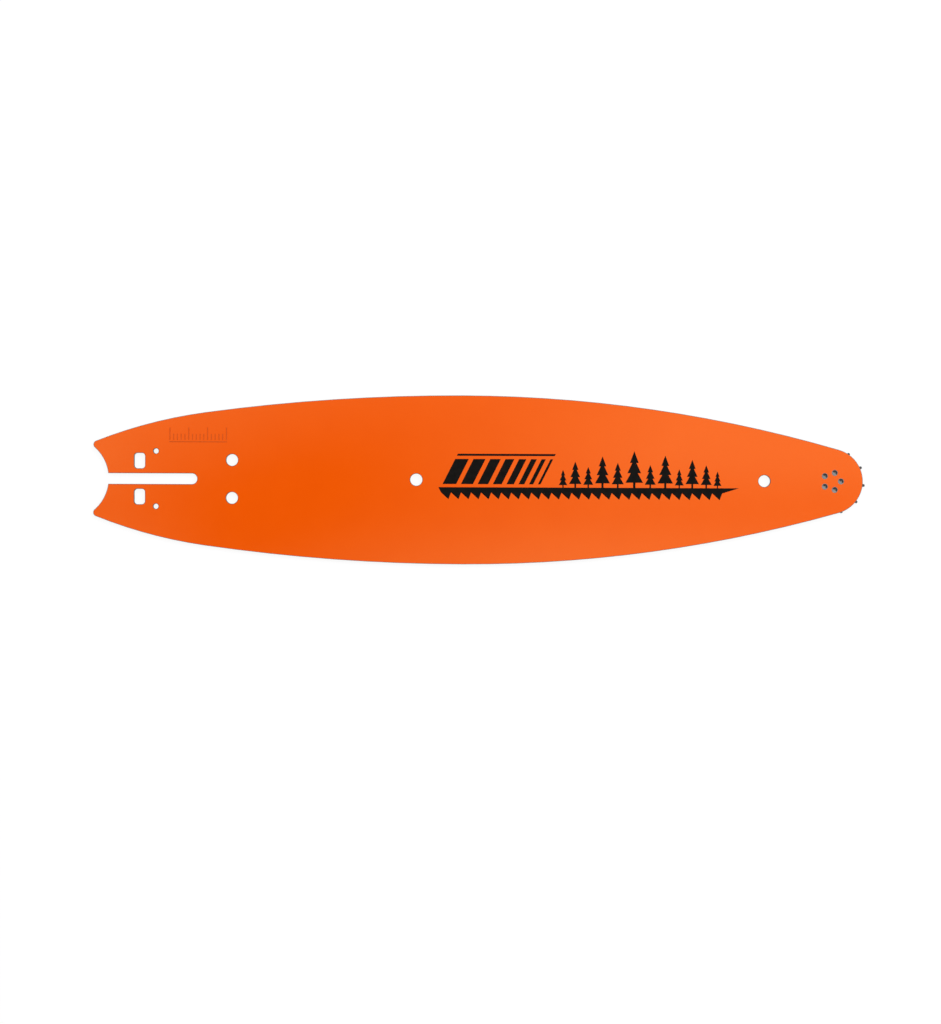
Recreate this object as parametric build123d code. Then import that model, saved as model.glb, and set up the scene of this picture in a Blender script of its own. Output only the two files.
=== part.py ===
from build123d import *
import math
import os

# A guide bar for a harvester saw: a one-piece grooved steel plate with a star sprocket in its nose.
# X runs along the bar from tail to nose, Y across it, and Z is the plate's normal.
# The origin is midway between the two mounting holes, in the middle of the plate's thickness.
# All sizes are in millimetres and all angles in degrees.

# Plate
plate_thickness = 6.0
edge_break = 0.4

# Outline: stations along X from the mounting holes, widths across the bar
tail_x = -132.0
tail_width = 70.4
shoulder_x = -25.5
rear_belly_radius = 1780.0
belly_x = 220.0
belly_width = 161.3
nose_x = 570.9
nose_radius = 31.3

# Tail: the notch around the drive sprocket, and the rounded horns beside it
notch_floor_x = -117.8
notch_radius = 39.5
horn_round = 3.8

# Tail: the stud slot, the tensioner holes, the oil holes and the mounting holes
slot_width = 10.3
slot_end_x = -33.2
tensioner_x = -88.2
tensioner_spacing = 34.3
tensioner_length = 10.3
tensioner_height = 14.7
tensioner_round = 3.0
oil_hole_x = -72.6
oil_hole_spacing = 52.8
oil_hole_diameter = 5.0
oil_passage_diameter = 1.8
mounting_hole_spacing = 36.2
mounting_hole_diameter = 11.3

# Plain round holes on the centre line
middle_hole_x = 175.9
middle_hole_diameter = 11.6
front_hole_x = 508.2
front_hole_diameter = 11.3

# Chain groove, cut for drive links of 0.080 inch
groove_width = 2.03
groove_depth = 12.5

# Nose bearing, from the rivets outwards
rivet_count = 5
rivet_ring_radius = 8.5
rivet_shank_diameter = 4.2
rivet_head_diameter = 5.8
rivet_head_depth = 1.1
rivet_recess = 0.1
rivet_dimple_diameter = 5.0
rivet_dimple_depth = 0.6
rivet_clearance = 0.03
race_wall = 2.4
roller_diameter = 3.5
roller_gap = 0.05
running_clearance = 0.05
side_clearance = 0.09

# Nose sprocket, whose axis leads the centre of the nose arc so that it lifts the chain off the rails
sprocket_lead = 1.9
tooth_count = 11
tooth_proud = 2.2
tooth_tip_width = 2.0
tooth_tip_round = 0.4
tooth_phase = -7.1
gullet_round = 4.6
sprocket_web = 4.9
pocket_clearance = 1.0

# Sizes that follow from those above
half_thickness = plate_thickness / 2
belly_half = belly_width / 2
tail_half = tail_width / 2
notch_x = notch_floor_x - notch_radius
axis_x = nose_x + sprocket_lead
race_radius = rivet_ring_radius + rivet_shank_diameter / 2 + race_wall
roller_ring_radius = race_radius + running_clearance + roller_diameter / 2
bore_radius = roller_ring_radius + roller_diameter / 2 + running_clearance
gullet_floor_radius = bore_radius + sprocket_web
tip_radius = nose_radius - sprocket_lead + tooth_proud
pocket_radius = tip_radius + pocket_clearance
sprocket_thickness = groove_width - 2 * side_clearance
roller_count = math.floor(math.pi / math.asin((roller_diameter + roller_gap) / (2 * roller_ring_radius)))

# The front belly arc is level at the belly and touches the nose circle
nose_reach = nose_x - belly_x
nose_drop = belly_half - nose_radius
front_belly_radius = (nose_reach**2 + belly_half**2 - nose_radius**2) / (2 * nose_drop)

nose_centre = Vector(nose_x, 0)
front_centre = Vector(belly_x, belly_half - front_belly_radius)
rear_centre = Vector(belly_x, belly_half - rear_belly_radius)

# Outward normals where one arc of the rail runs into the next
nose_normal = (nose_centre - front_centre).normalized()
shoulder_lean = math.asin((shoulder_x - belly_x) / rear_belly_radius)
shoulder_normal = Vector(math.sin(shoulder_lean), math.cos(shoulder_lean))

# The tail flank carries on from the shoulder without a kink, and the tail's width sets its radius
shoulder = rear_centre + shoulder_normal * rear_belly_radius
tail_chord = Vector(tail_x, tail_half) - shoulder
flank_radius = -tail_chord.dot(tail_chord) / (2 * shoulder_normal.dot(tail_chord))
flank_centre = shoulder - shoulder_normal * flank_radius


def arc_height(centre, radius, x):
    """The height of an arc at a station. A negative radius is an arc that is hollow towards the outside."""
    return centre.Y + math.copysign(math.sqrt(radius**2 - (x - centre.X) ** 2), radius)


def arc_at(centre, radius, start_x, end_x):
    """The arc of a rail between two stations."""
    stations = (start_x, (start_x + end_x) / 2, end_x)
    return ThreePointArc(*[(x, arc_height(centre, radius, x)) for x in stations])


def rail_outline(inset):
    """The face between the two rails, moved in by an inset, with a straight end behind the tail."""
    nose_end = nose_centre + nose_normal * (nose_radius - inset)
    nose_middle = nose_centre + (nose_normal + Vector(1, 0)).normalized() * (nose_radius - inset)
    shoulder_end = shoulder - shoulder_normal * inset
    upper = [
        ThreePointArc((nose_x + nose_radius - inset, 0), nose_middle, nose_end),
        arc_at(front_centre, front_belly_radius - inset, nose_end.X, belly_x),
        arc_at(rear_centre, rear_belly_radius - inset, belly_x, shoulder_end.X),
        arc_at(flank_centre, flank_radius - inset, shoulder_end.X, notch_x),
    ]
    lower = [mirror(edge, Plane.XZ) for edge in upper]
    tail = upper[-1] @ 1
    return make_face([*upper, *lower, Line(tail, (tail.X, -tail.Y))])


def through(sketch):
    """A cutter of a sketch's shape that passes right through the plate."""
    return extrude(sketch, amount=plate_thickness, both=True)


def slab(sketch, thickness):
    """A solid of a sketch's shape, centred on the middle of the plate's thickness."""
    return extrude(sketch, amount=thickness / 2, both=True)


def pair(x, spacing, sketch):
    """Two copies of a sketch, on either side of the centre line."""
    return [Pos(x, side * spacing / 2) * sketch for side in (1, -1)]


def rivet_places():
    """The places of the nose rivets, with one rivet towards the nose."""
    return [Pos(axis_x, 0) * loc for loc in PolarLocations(rivet_ring_radius, rivet_count)]


def plate_sketch():
    """The plate's outline, with the tail notch, the rounded horns and the slot."""
    sketch = rail_outline(0) - Pos(notch_x, 0) * Circle(notch_radius)
    horns = [corner for corner in sketch.vertices() if corner.X < notch_floor_x]
    sketch = fillet(horns, horn_round)
    slot_reach = slot_end_x - slot_width / 2 - notch_x
    slot = Pos(notch_x + slot_reach / 2, 0) * Rectangle(slot_reach, slot_width)
    return sketch - slot - Pos(notch_x + slot_reach, 0) * Circle(slot_width / 2)


def plate_holes():
    """The holes through the plate, apart from those of the nose rivets."""
    tensioner = RectangleRounded(tensioner_length, tensioner_height, tensioner_round)
    return [
        *pair(tensioner_x, tensioner_spacing, tensioner),
        *pair(oil_hole_x, oil_hole_spacing, Circle(oil_hole_diameter / 2)),
        *pair(0, mounting_hole_spacing, Circle(mounting_hole_diameter / 2)),
        Pos(middle_hole_x, 0) * Circle(middle_hole_diameter / 2),
        Pos(front_hole_x, 0) * Circle(front_hole_diameter / 2),
    ]


def oil_passages():
    """Drillings from the floor of the groove down to each oil hole."""
    start = oil_hole_spacing / 2
    reach = arc_height(flank_centre, flank_radius, oil_hole_x) - start
    drill = Cylinder(oil_passage_diameter / 2, reach, align=(Align.CENTER, Align.CENTER, Align.MIN))
    return [Pos(oil_hole_x, side * start) * Rot(-90 * side, 0, 0) * drill for side in (1, -1)]


def rivet_solid(clearance):
    """A rivet with a countersunk head at each end, or the hole for it where there is a clearance."""
    shank = rivet_shank_diameter / 2 + clearance
    head = rivet_head_diameter / 2 + clearance
    top = half_thickness - rivet_recess
    neck = top - rivet_head_depth
    side = Polyline((0, neck), (shank, neck), (head, top), (0, top), close=True)
    upper = revolve(Plane.XZ * make_face(side), Axis.Z)
    return Cylinder(shank, 2 * neck) + upper + mirror(upper, Plane.XY)


def rivet():
    """A nose rivet, its heads dimpled by the riveting punch."""
    half_dimple = rivet_dimple_diameter / 2
    ball_radius = (half_dimple**2 + rivet_dimple_depth**2) / (2 * rivet_dimple_depth)
    ball_z = half_thickness - rivet_recess - rivet_dimple_depth + ball_radius
    return rivet_solid(0) - [Pos(0, 0, side * ball_z) * Sphere(ball_radius) for side in (1, -1)]


def rivet_hole():
    """The hole for a rivet, which stays as wide as the head up to the plate's face."""
    head = rivet_head_diameter / 2 + rivet_clearance
    return rivet_solid(rivet_clearance) + [
        Pos(0, 0, side * half_thickness) * Cylinder(head, 2 * rivet_recess) for side in (1, -1)
    ]


def bar_body():
    """The plate with its groove, its nose pocket and all its holes."""
    body = slab(plate_sketch(), plate_thickness) - [through(hole) for hole in plate_holes()]
    faces = body.faces().filter_by(Plane.XY)
    body = chamfer(faces.edges(), edge_break)
    groove = slab(rail_outline(0) - rail_outline(groove_depth), groove_width)
    pocket = slab(Pos(axis_x, 0) * Circle(pocket_radius), groove_width)
    return body - [groove, pocket, *oil_passages()] - [loc * rivet_hole() for loc in rivet_places()]


def bearing_race():
    """The fixed inner race of the nose bearing, held between the plate's cheeks by the rivets."""
    holes = [loc * Circle(rivet_shank_diameter / 2 + rivet_clearance) for loc in rivet_places()]
    return slab(Pos(axis_x, 0) * Circle(race_radius) - holes, groove_width)


def bearing_rollers():
    """The rollers that fill the ring between the race and the sprocket."""
    roller = Cylinder(roller_diameter / 2, sprocket_thickness)
    return [Pos(axis_x, 0) * loc * roller for loc in PolarLocations(roller_ring_radius, roller_count)]


def gullet_sketch():
    """One gap between two teeth, on the X axis: a round floor with straight flanks out past the tips."""
    half_mouth = math.pi / tooth_count - math.asin(tooth_tip_width / 2 / tip_radius)
    tip = Vector(math.cos(half_mouth), math.sin(half_mouth)) * tip_radius
    floor_centre = Vector(gullet_floor_radius + gullet_round, 0)
    to_tip = tip - floor_centre
    turn = math.atan2(to_tip.Y, to_tip.X) + math.acos(gullet_round / to_tip.length)
    touch = floor_centre + Vector(math.cos(turn), math.sin(turn)) * gullet_round
    outside = touch + (tip - touch) * 2
    corners = [touch, outside, Vector(outside.X, -outside.Y), Vector(touch.X, -touch.Y)]
    return Pos(floor_centre) * Circle(gullet_round) + make_face(Polyline(*corners, close=True))


def nose_sprocket():
    """The star-shaped sprocket, with its tooth tips just proud of the nose."""
    pitch_angle = 360 / tooth_count
    star = Circle(tip_radius) - [Rot(0, 0, i * pitch_angle) * gullet_sketch() for i in range(tooth_count)]
    tips = [corner for corner in star.vertices() if Vector(*corner).length > tip_radius - tooth_tip_round]
    star = fillet(tips, tooth_tip_round) - Circle(bore_radius)
    return slab(Pos(axis_x, 0) * Rot(0, 0, tooth_phase + pitch_angle / 2) * star, sprocket_thickness)


def main():
    parts = {
        "bar_body": bar_body(),
        "bearing_race": bearing_race(),
        "nose_rivets": Compound(children=[loc * rivet() for loc in rivet_places()]),
        "nose_sprocket": nose_sprocket(),
    }
    for number, roller in enumerate(bearing_rollers(), start=1):
        parts[f"bearing_roller_{number:02d}"] = roller
    os.makedirs("parts", exist_ok=True)
    for name, shape in parts.items():
        export_step(shape, f"parts/{name}.step")


main()
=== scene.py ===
import math

import bmesh
import bpy
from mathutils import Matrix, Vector


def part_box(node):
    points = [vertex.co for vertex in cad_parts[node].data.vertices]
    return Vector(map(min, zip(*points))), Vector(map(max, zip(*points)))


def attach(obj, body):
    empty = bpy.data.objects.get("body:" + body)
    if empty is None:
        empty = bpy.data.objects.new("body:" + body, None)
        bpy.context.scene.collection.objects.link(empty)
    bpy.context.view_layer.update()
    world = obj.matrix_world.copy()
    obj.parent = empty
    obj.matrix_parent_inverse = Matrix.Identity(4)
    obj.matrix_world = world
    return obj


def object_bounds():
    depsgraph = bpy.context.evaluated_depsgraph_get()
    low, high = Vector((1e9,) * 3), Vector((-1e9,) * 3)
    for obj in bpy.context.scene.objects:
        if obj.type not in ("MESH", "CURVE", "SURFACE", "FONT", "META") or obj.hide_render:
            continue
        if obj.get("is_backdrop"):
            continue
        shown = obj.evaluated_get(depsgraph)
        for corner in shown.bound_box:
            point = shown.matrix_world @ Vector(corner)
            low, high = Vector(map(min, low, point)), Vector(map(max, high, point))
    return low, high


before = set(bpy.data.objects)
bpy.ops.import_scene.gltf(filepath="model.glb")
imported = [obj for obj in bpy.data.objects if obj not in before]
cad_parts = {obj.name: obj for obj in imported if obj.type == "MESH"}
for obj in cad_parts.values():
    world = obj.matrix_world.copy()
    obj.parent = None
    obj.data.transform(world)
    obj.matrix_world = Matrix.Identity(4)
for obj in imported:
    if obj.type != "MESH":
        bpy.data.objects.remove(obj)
cad_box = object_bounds()

MM = 0.001
WHITE = (1, 1, 1, 1)

# The plate and the nose, read from the frame
plate_low, plate_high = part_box("bar_body")
TOP = plate_high.z
BOTTOM = plate_low.z
NOSE_AXIS = sum(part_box("nose_sprocket"), Vector()) / 2


def node(tree, kind, **settings):
    """A new node, with its properties and its unlinked inputs set."""
    made = tree.nodes.new(kind)
    for name, value in settings.items():
        if hasattr(made, name):
            setattr(made, name, value)
        else:
            made.inputs[name].default_value = value
    return made


def link(tree, source, target):
    """Joins two sockets."""
    tree.links.new(source, target)


def combine(tree, operation, first, second):
    """The result of an operation on two numbers."""
    made = node(tree, "ShaderNodeMath", operation=operation)
    link(tree, first, made.inputs[0])
    link(tree, second, made.inputs[1])
    return made.outputs["Value"]


def larger(tree, first, second):
    """The larger of two numbers."""
    return combine(tree, "MAXIMUM", first, second)


def product(tree, first, second):
    """Two numbers multiplied."""
    return combine(tree, "MULTIPLY", first, second)


def length(tree, vector):
    """The length of a vector."""
    made = node(tree, "ShaderNodeVectorMath", operation="LENGTH")
    link(tree, vector, made.inputs[0])
    return made.outputs["Value"]


def ramp(tree, value, start, end, low, high, curve="LINEAR"):
    """A number that goes from low to high as a value goes from start to end."""
    made = node(tree, "ShaderNodeMapRange", interpolation_type=curve)
    for socket, number in zip(("From Min", "From Max", "To Min", "To Max"), (start, end, low, high)):
        made.inputs[socket].default_value = number
    link(tree, value, made.inputs["Value"])
    return made.outputs["Result"]


def smooth(tree, value, start, end, low, high):
    """A ramp that starts and ends gently."""
    return ramp(tree, value, start, end, low, high, "SMOOTHSTEP")


# The stretch of a noise's range over which a material goes from its first value to its second
NOISE_RANGE = (0.3, 0.7)


def noise(tree, per_metre, detail=2.0, stretch=(1, 1, 1)):
    """Noise fixed to the part, with so many features in a metre, times the stretch along each axis."""
    place = node(tree, "ShaderNodeTexCoord")
    mapping = node(tree, "ShaderNodeMapping", Scale=Vector(stretch) * per_metre)
    texture = node(tree, "ShaderNodeTexNoise", Scale=1.0, Detail=detail)
    link(tree, place.outputs["Object"], mapping.inputs["Vector"])
    link(tree, mapping.outputs["Vector"], texture.inputs["Vector"])
    return texture.outputs["Fac"]


def blend_colours(tree, factor, first, second):
    """A colour that goes from the first to the second with a noise."""
    made = node(tree, "ShaderNodeValToRGB")
    for stop, place, colour in zip(made.color_ramp.elements, NOISE_RANGE, (first, second)):
        stop.position = place
        stop.color = (*colour, 1)
    link(tree, factor, made.inputs["Fac"])
    return made.outputs["Color"]


def new_material(name):
    """A material with one Principled shader, as (material, tree, shader)."""
    material = bpy.data.materials.new(name)
    material.use_nodes = True
    tree = material.node_tree
    return material, tree, tree.nodes["Principled BSDF"]


def surface(name, colours, roughness, blotches, spots, relief, depth, strength):
    """A material that is mottled in colour and roughness and has a fine relief, as (material, shader).

    Blotches of colour, spots of roughness and the relief each say what noise to use.
    """
    material, tree, shader = new_material(name)
    colour = blend_colours(tree, noise(tree, *blotches), *colours)
    rough = ramp(tree, noise(tree, *spots), *NOISE_RANGE, *roughness)
    bump = node(tree, "ShaderNodeBump", Strength=strength, Distance=depth)
    link(tree, colour, shader.inputs["Base Color"])
    link(tree, rough, shader.inputs["Roughness"])
    link(tree, noise(tree, *relief), bump.inputs["Height"])
    link(tree, bump.outputs["Normal"], shader.inputs["Normal"])
    return material, shader


def coat(name, gloss, gloss_tint=WHITE, **finish):
    """A coat of paint or ink, with the strength and the tint of its gloss."""
    material, shader = surface(name, **finish)
    shader.inputs["Specular IOR Level"].default_value = gloss
    shader.inputs["Specular Tint"].default_value = gloss_tint
    return material


def orange_paint():
    """Glossy orange paint with a slight orange peel."""
    return coat(
        "orange_paint",
        colours=((0.848, 0.092, 0.0005), (0.862, 0.096, 0.0008)),
        blotches=(30, 3.0),
        roughness=(0.045, 0.06),
        spots=(260,),
        relief=(420,),
        depth=0.002 * MM,
        strength=0.2,
        gloss=0.74,
        gloss_tint=(1, 1, 0.41, 1),
    )


def black_ink():
    """Matt black screen print."""
    return coat(
        "black_ink",
        colours=((0.003, 0.0025, 0.002), (0.006, 0.005, 0.004)),
        blotches=(220,),
        roughness=(0.35, 0.5),
        spots=(500,),
        relief=(900,),
        depth=0.01 * MM,
        strength=0.3,
        gloss=0.12,
    )


def etched_paint():
    """Paint that etching has darkened and dulled."""
    return coat(
        "etched_paint",
        colours=((0.58, 0.071, 0.001), (0.66, 0.078, 0.001)),
        blotches=(400,),
        roughness=(0.3, 0.4),
        spots=(500,),
        relief=(1500,),
        depth=0.01 * MM,
        strength=0.3,
        gloss=0.3,
    )


def steel(name, dark, light, roughness, stretch=(1, 1, 1)):
    """Bare steel, mottled between two greys, with fine tool marks."""
    material, shader = surface(
        name,
        colours=(dark, light),
        blotches=(180, 4.0),
        roughness=roughness,
        spots=(700, 3.0),
        relief=(1800, 2.0, stretch),
        depth=0.01 * MM,
        strength=0.5,
    )
    shader.inputs["Metallic"].default_value = 1.0
    return material


# How the bar's faces are told apart: by their normals, and by where they lie
FLAT = 0.95
STEEP = 0.1
OUTWARD = 0.5
FACE_DEPTH = 0.1 * MM
GROOVE_HALF = 1.0 * MM
RAIL_CLEAR = 25 * MM

# The bar's material slots, and the marks of grinding, which run along the rails
PAINT_SLOT, EDGE_SLOT, RAIL_SLOT = range(3)
GRINDING = (0.02, 0.02, 1)


def is_painted(face):
    """Whether a face belongs to the plate's front or back."""
    return abs(face.normal.z) > FLAT and abs(face.center.z) > TOP - FACE_DEPTH


def on_rail(face):
    """Whether a face belongs to the rails, on the outer wall and clear of the groove and the holes."""
    if abs(face.normal.z) > STEEP or abs(face.center.z) < GROOVE_HALF:
        return False
    from_nose = face.center - NOSE_AXIS
    outward = from_nose if face.center.x > NOSE_AXIS.x else Vector((0, face.center.y, 0))
    return outward.xy.length > RAIL_CLEAR and face.normal.dot(outward) > OUTWARD * outward.length


def finish_bar(obj):
    """Paint on the two faces, ground steel on the rails, and darker steel everywhere else."""
    paint = orange_paint()
    edge = steel("edge_steel", (0.2, 0.194, 0.186), (0.3, 0.29, 0.28), (0.34, 0.5))
    rail = steel("rail_steel", (0.34, 0.335, 0.325), (0.45, 0.44, 0.43), (0.22, 0.36), GRINDING)
    obj.data.materials.clear()
    for material in (paint, edge, rail):
        obj.data.materials.append(material)
    for face in obj.data.polygons:
        if is_painted(face):
            face.material_index = PAINT_SLOT
        elif on_rail(face):
            face.material_index = RAIL_SLOT
        else:
            face.material_index = EDGE_SLOT


def finish_nodes():
    """Materials for all the solids."""
    finish_bar(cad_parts["bar_body"])
    own = {
        "nose_sprocket": steel("sprocket_steel", (0.12, 0.115, 0.11), (0.2, 0.19, 0.18), (0.28, 0.42)),
        "nose_rivets": steel("rivet_steel", (0.27, 0.27, 0.27), (0.34, 0.34, 0.34), (0.15, 0.24)),
    }
    bearing = steel("bearing_steel", (0.42, 0.42, 0.43), (0.52, 0.52, 0.53), (0.15, 0.25))
    for name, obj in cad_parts.items():
        if name != "bar_body":
            obj.data.materials.clear()
            obj.data.materials.append(own.get(name, bearing))


# Print: a row of conifers on a saw blade, with speed stripes behind them, in millimetres
SLANT = 0.5
BLADE_START, BLADE_END = 197, 484
BLADE_LOW, BLADE_HIGH = -12, -7
BLADE_POINT = 16
SAW_TEETH = 28
SAW_TOOTH_DEPTH = 6.5
# Where the tip of a saw tooth lies, as a share of the pitch
SAW_TOOTH_TIP = 0.25
STRIPE_COUNT = 8
STRIPE_START = 203
STRIPE_WIDEST, STRIPE_STEP, STRIPE_GAP = 13, 1.5, 4.5
STRIPE_LOW, STRIPE_HIGH = -4, 20
PINSTRIPE_LOW, PINSTRIPE_HIGH = 23, 25
TREE_HEIGHTS = (17, 25, 20, 30, 24, 35, 22, 31, 18, 27, 22, 16)
TREE_START = 316
TREE_GAP = 1.6
# Half the width of a tree, as a share of its height
TREE_SPREAD = 0.24
# One side of a tree from its top to its foot, as shares of its spread and its height
TREE_SIDE = ((0, 1), (0.5, 0.68), (0.24, 0.68), (0.78, 0.4), (0.4, 0.4), (1, 0.14), (0.14, 0.14), (0.14, 0))


def slanted(x0, x1, y0, y1):
    """The corners of a stripe with slanted ends, leaning to the nose."""
    return [(x0 + SLANT * y0, y0), (x1 + SLANT * y0, y0), (x1 + SLANT * y1, y1), (x0 + SLANT * y1, y1)]


def conifer(x, ground, height):
    """The outline of a tree with three tiers of branches, from its left foot to its right one."""
    spread = TREE_SPREAD * height
    left = [(x - spread * across, ground + height * up) for across, up in reversed(TREE_SIDE)]
    right = [(x + spread * across, ground + height * up) for across, up in TREE_SIDE[1:]]
    return left + right


def tree_places():
    """Where the trees stand, each clear of the one before it, as (place, height)."""
    x = TREE_START
    for i, height in enumerate(TREE_HEIGHTS):
        if i:
            x += TREE_SPREAD * (TREE_HEIGHTS[i - 1] + height) + TREE_GAP
        yield x, height


def saw_blade():
    """The outline of a blade with the trees on its back, a point at the nose and raked teeth below."""
    outline = [(BLADE_START, BLADE_HIGH)]
    for x, height in tree_places():
        outline += conifer(x, BLADE_HIGH, height)
    heel = BLADE_START + SLANT * (BLADE_HIGH - BLADE_LOW)
    pitch = (BLADE_END - BLADE_POINT - heel) / SAW_TEETH
    outline += [(BLADE_END, BLADE_HIGH), (BLADE_END - BLADE_POINT, BLADE_LOW)]
    for i in range(SAW_TEETH):
        x = BLADE_END - BLADE_POINT - pitch * i
        outline += [(x - SAW_TOOTH_TIP * pitch, BLADE_LOW - SAW_TOOTH_DEPTH), (x - pitch, BLADE_LOW)]
    return outline[::-1]


def print_shapes():
    """The outlines of all the printed shapes, anticlockwise."""
    shapes = [saw_blade()]
    place = STRIPE_START
    for i in range(STRIPE_COUNT):
        width = STRIPE_WIDEST - STRIPE_STEP * i
        shapes.append(slanted(place, place + width, STRIPE_LOW, STRIPE_HIGH))
        place += width + STRIPE_GAP
    shapes.append(slanted(STRIPE_START, place - STRIPE_GAP, PINSTRIPE_LOW, PINSTRIPE_HIGH))
    return shapes


# Etching: a faint scale without figures at the tail, in millimetres
SCALE_START, SCALE_PITCH, SCALE_TICKS = -60, 3.6, 16
SCALE_STROKE = 1.1
SCALE_LINE, SCALE_FOOT, SCALE_SHORT, SCALE_LONG = 34.8, 37, 43, 49
TICKS_TO_LONG = 5


def rectangle(x0, x1, y0, y1):
    """The corners of a rectangle."""
    return [(x0, y0), (x1, y0), (x1, y1), (x0, y1)]


def etched_shapes():
    """The outlines of the scale: a base line, and short and long ticks that stand clear of it."""
    ticks = [SCALE_START + SCALE_PITCH * i for i in range(SCALE_TICKS)]
    shapes = [rectangle(ticks[0], ticks[-1] + SCALE_STROKE, SCALE_LINE, SCALE_LINE + SCALE_STROKE)]
    for i, x in enumerate(ticks):
        top = SCALE_SHORT if i % TICKS_TO_LONG else SCALE_LONG
        shapes.append(rectangle(x, x + SCALE_STROKE, SCALE_FOOT, top))
    return shapes


# How far a film of artwork stands proud of the face, and how far it reaches into the plate
FILM_PROUD = 0.03 * MM
FILM_SINK = 0.01 * MM


def add_film(name, shapes, material):
    """All the shapes of one colour as a thin film on the face."""
    mesh = bmesh.new()
    for corners in shapes:
        low = [mesh.verts.new((x * MM, y * MM, TOP - FILM_SINK)) for x, y in corners]
        high = [mesh.verts.new((x * MM, y * MM, TOP + FILM_PROUD)) for x, y in corners]
        mesh.faces.new(high)
        mesh.faces.new(low[::-1])
        for i in range(len(corners)):
            j = (i + 1) % len(corners)
            mesh.faces.new((low[i], low[j], high[j], high[i]))
    data = bpy.data.meshes.new(name)
    mesh.to_mesh(data)
    mesh.free()
    film = bpy.data.objects.new(name, data)
    bpy.context.scene.collection.objects.link(film)
    data.materials.append(material)
    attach(film, "bar")


# The photograph's frame in pixels, where the bar lies in it, and the camera that sees it so
IMAGE_WIDTH = 941
IMAGE_HEIGHT = 1024
ORIGIN_PIXEL = Vector((232.0, 478.92))
BAR_TILT = math.radians(0.236)
PIXEL = 0.9546 * MM
CAMERA_HEIGHT = 3.0
CAMERA_REACH = 100.0
SENSOR = 36.0


def photo_point(x, y):
    """The point on the plate's face that a pixel of the photograph shows."""
    across, down = Vector((x, y)) - ORIGIN_PIXEL
    along = across * math.cos(BAR_TILT) + down * math.sin(BAR_TILT)
    up = across * math.sin(BAR_TILT) - down * math.cos(BAR_TILT)
    return Vector((along * PIXEL, up * PIXEL, TOP))


def add_camera():
    """A camera straight above the bar, with a long lens, turned by the bar's tilt in the photograph."""
    data = bpy.data.cameras.new("camera")
    data.sensor_width = SENSOR
    data.lens = SENSOR * CAMERA_HEIGHT / (max(IMAGE_WIDTH, IMAGE_HEIGHT) * PIXEL)
    data.clip_end = CAMERA_REACH
    camera = bpy.data.objects.new("camera", data)
    bpy.context.scene.collection.objects.link(camera)
    camera.location = photo_point(IMAGE_WIDTH / 2, IMAGE_HEIGHT / 2) + Vector((0, 0, CAMERA_HEIGHT))
    camera.rotation_euler = (0, 0, BAR_TILT)
    bpy.context.scene.camera = camera


# Lamps: place, aim, width and height in metres, and power in watts
LAMPS = {
    "key": ((1.4, 1.0, 2.1), (0.3, 0, 0), 2.4, 1.6, 49),
    "fill": ((-1.3, 0.9, 1.8), (0, 0, 0), 1.2, 1.2, 14),
}


def add_lamp(name, place, aim, width, height, power):
    """A soft box that points at a place. The gloss mirrors the room alone, not the lamps."""
    data = bpy.data.lights.new(name, "AREA")
    data.shape = "RECTANGLE"
    data.size = width
    data.size_y = height
    data.energy = power
    lamp = bpy.data.objects.new(name, data)
    bpy.context.scene.collection.objects.link(lamp)
    lamp.visible_glossy = False
    lamp.location = place
    lamp.rotation_euler = (Vector(aim) - Vector(place)).to_track_quat("-Z", "Y").to_euler()


def seen_directly(tree):
    """1 for rays that show a surface or its reflection, and 0 for those that only light the part."""
    path = node(tree, "ShaderNodeLightPath")
    seen = larger(tree, path.outputs["Is Camera Ray"], path.outputs["Is Glossy Ray"])
    return larger(tree, seen, path.outputs["Is Transmission Ray"])


# Floor: its size and middle in metres, its colour, and its glow, which rises to white over a stretch
FLOOR_SIZE = 12.0
FLOOR_MIDDLE = 0.23
FLOOR_COLOUR = (0.105, 0.105, 0.105, 1)
FLOOR_GLOW = 0.91
FLOOR_FADE = (0.7, 2.0)


def add_floor():
    """A pale floor that keeps the bar's soft shadow, and fades to pure white away from it."""
    bpy.ops.mesh.primitive_plane_add(size=FLOOR_SIZE, location=(FLOOR_MIDDLE, 0, BOTTOM))
    floor = bpy.context.object
    floor.name = "floor"
    material, tree, shader = new_material("floor")
    shader.inputs["Base Color"].default_value = FLOOR_COLOUR
    shader.inputs["Roughness"].default_value = 1.0
    shader.inputs["Specular IOR Level"].default_value = 0.0
    shader.inputs["Emission Color"].default_value = WHITE
    place = node(tree, "ShaderNodeTexCoord")
    glow = smooth(tree, length(tree, place.outputs["Object"]), *FLOOR_FADE, FLOOR_GLOW, 1.0)
    link(tree, product(tree, seen_directly(tree), glow), shader.inputs["Emission Strength"])
    floor.data.materials.append(material)
    floor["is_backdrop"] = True


# World: the even light that falls on the part from all round
FILL_LIGHT = 0.45
# What the gloss mirrors overhead, as slopes from straight up: a tilted dark patch with a soft edge, whose
# third reach is so long that height doesn't count, a gap between soft boxes, and a soft box over the tail
PATCH_MIDDLE = (-0.061, 0.0026, 0)
PATCH_REACH = (0.142, 0.057, 1000)
PATCH_TURN = (0, 0, 0.37)
PATCH_CORE = 0.15
GAP_MIDDLE = 0.0013
GAP_REACH = 0.016
GAP_LIGHT = 0.48
TAIL_BOX_FADE = (-0.13, -0.07)
TAIL_BOX_LIGHT = 0.95
# How far the lit ceiling reaches from straight up, and how the dim room lightens towards the key lamp
CEILING_FADE = (0.14, 0.22)
KEY_SIDE = (0.6, 0.8, 0)
KEY_FADE = (0.0, 0.3)
DIM_LIGHT = 0.15
# How bright the gloss sees the walls at the horizon, and the height at which they are white
WALL_LIGHT = 0.15
WALL_TOP = 0.75


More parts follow.
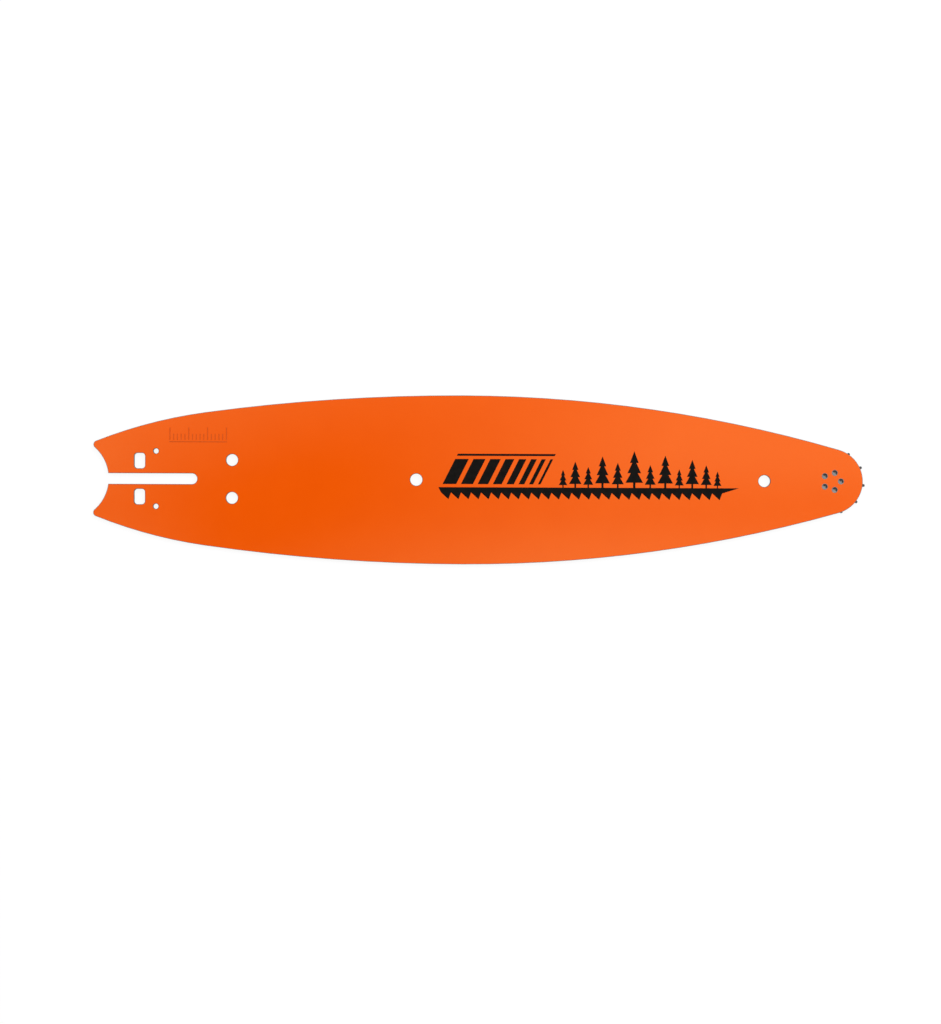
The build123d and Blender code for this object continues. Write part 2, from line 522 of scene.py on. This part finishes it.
def dark_patch(tree, direction):
    """1 all round, and 0 in the middle of the dark patch overhead."""
    share = node(
        tree,
        "ShaderNodeMapping",
        vector_type="TEXTURE",
        Location=PATCH_MIDDLE,
        Rotation=PATCH_TURN,
        Scale=PATCH_REACH,
    )
    link(tree, direction, share.inputs["Vector"])
    return ramp(tree, length(tree, share.outputs["Vector"]), PATCH_CORE, 1.0, 0.0, 1.0)


def soft_box_gap(tree, across):
    """1 all round, and less in the gap between the soft boxes overhead, which runs along the bar."""
    offset = node(tree, "ShaderNodeMath", operation="SUBTRACT")
    offset.inputs[1].default_value = GAP_MIDDLE
    distance = node(tree, "ShaderNodeMath", operation="ABSOLUTE")
    link(tree, across, offset.inputs[0])
    link(tree, offset.outputs["Value"], distance.inputs[0])
    return smooth(tree, distance.outputs["Value"], 0.0, GAP_REACH, GAP_LIGHT, 1.0)


def lit_room(tree, direction):
    """1 overhead and on the side of the key lamp, and dim elsewhere in the room."""
    level = node(tree, "ShaderNodeVectorMath", operation="MULTIPLY")
    level.inputs[1].default_value = (1, 1, 0)
    towards = node(tree, "ShaderNodeVectorMath", operation="DOT_PRODUCT")
    towards.inputs[1].default_value = KEY_SIDE
    link(tree, direction, level.inputs[0])
    link(tree, direction, towards.inputs[0])
    overhead = smooth(tree, length(tree, level.outputs["Vector"]), *CEILING_FADE, 1.0, 0.0)
    return larger(tree, overhead, smooth(tree, towards.outputs["Value"], *KEY_FADE, DIM_LIGHT, 1.0))


def add_world():
    """White to the camera, and an even fill on the part. The gloss mirrors a ceiling and dimmer walls."""
    world = bpy.data.worlds.new("studio")
    bpy.context.scene.world = world
    world.use_nodes = True
    tree = world.node_tree
    fill = tree.nodes["Background"]
    fill.inputs["Color"].default_value = WHITE
    fill.inputs["Strength"].default_value = FILL_LIGHT
    direction = node(tree, "ShaderNodeTexCoord").outputs["Generated"]
    slope = node(tree, "ShaderNodeSeparateXYZ")
    link(tree, direction, slope.inputs["Vector"])
    walls = smooth(tree, slope.outputs["Z"], 0.0, WALL_TOP, WALL_LIGHT, 1.0)
    tail_box = smooth(tree, slope.outputs["X"], *TAIL_BOX_FADE, TAIL_BOX_LIGHT, 0.0)
    ceiling = larger(tree, dark_patch(tree, direction), tail_box)
    ceiling = product(tree, ceiling, soft_box_gap(tree, slope.outputs["Y"]))
    mirrored = product(tree, product(tree, walls, lit_room(tree, direction)), ceiling)
    path = node(tree, "ShaderNodeLightPath")
    seen = node(tree, "ShaderNodeBackground", Strength=1.0)
    link(tree, larger(tree, mirrored, path.outputs["Is Camera Ray"]), seen.inputs["Color"])
    mix = node(tree, "ShaderNodeMixShader")
    link(tree, seen_directly(tree), mix.inputs["Fac"])
    link(tree, fill.outputs["Background"], mix.inputs[1])
    link(tree, seen.outputs["Background"], mix.inputs[2])
    link(tree, mix.outputs["Shader"], tree.nodes["World Output"].inputs["Surface"])


def add_studio():
    """Floor, light and camera."""
    add_world()
    add_floor()
    for name, settings in LAMPS.items():
        add_lamp(name, *settings)
    add_camera()
    bpy.context.scene.view_settings.view_transform = "Standard"


finish_nodes()
add_film("print_film", print_shapes(), black_ink())
add_film("etched_scale", etched_shapes(), etched_paint())
add_studio()

boxes = {"cad": cad_box, "visual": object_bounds()}
{name: [list(corner) for corner in box] for name, box in boxes.items()}
